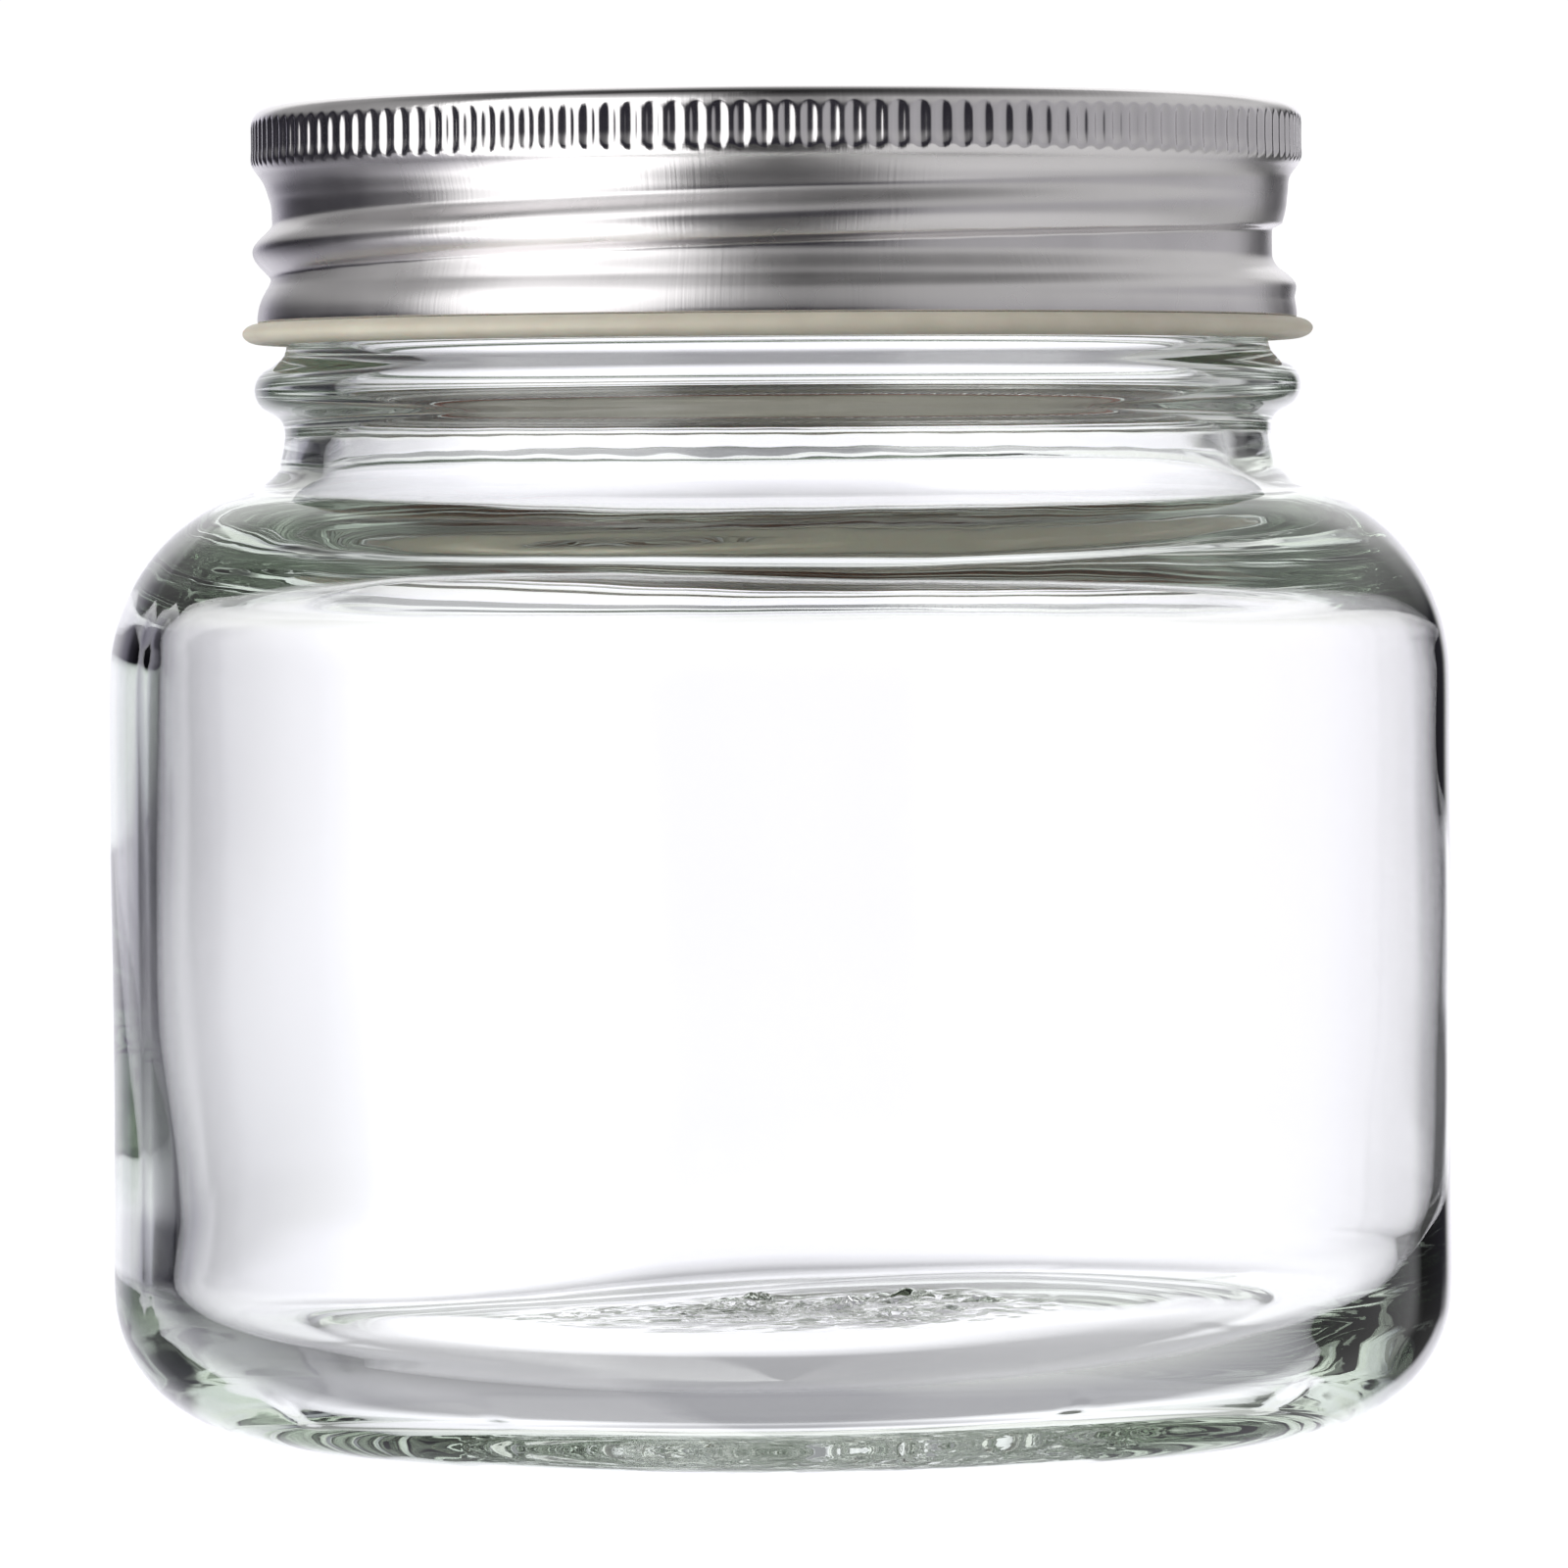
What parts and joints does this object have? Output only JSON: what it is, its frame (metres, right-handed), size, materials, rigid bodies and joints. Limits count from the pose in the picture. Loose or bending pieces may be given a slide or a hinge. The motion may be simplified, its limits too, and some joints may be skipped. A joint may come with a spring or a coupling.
{
  "type": "mason jar",
  "caption": "Squat wide-mouthed glass mason jar with a rubber shoulder ring and a two-piece screw closure: flat lid disc and reeded screw band.",
  "frame": {"origin": "centre of the jar's base, on the surface it stands on", "axes": "+Z is the jar's turning axis, up through the mouth; -Y is the front; +X is to the right seen from the front"},
  "size_m": [0.0938, 0.0938, 0.0921],
  "materials": {
    "clear_glass": "clear gloss, faint green tint",
    "cream_rubber": "matte moulded",
    "tinplate_disc": "satin",
    "seal_compound": "soft satin",
    "tinplate_band": "satin"
  },
  "bodies": {
    "jar": {"glass_jar": "clear_glass", "shoulder_ring": "cream_rubber"},
    "lid": {"lid_disc": "tinplate_disc", "lid_seal": "seal_compound"},
    "band": {"screw_band": "tinplate_band"}
  },
  "joints": [
    {"name": "closure_lift", "type": "slide", "parent": "jar", "child": "lid", "axis": [0, 0, 1], "range_m": [0, 0.0144]},
    {"name": "band_turn", "type": "hinge", "parent": "lid", "child": "band", "pos_m": [0, 0, 0.0846], "axis": [0, 0, 1], "range_deg": [0, 810]}
  ],
  "couplings": [
    {"joint": "closure_lift", "follows": "band_turn", "m_per_rad": 0.0010106}
  ]
}
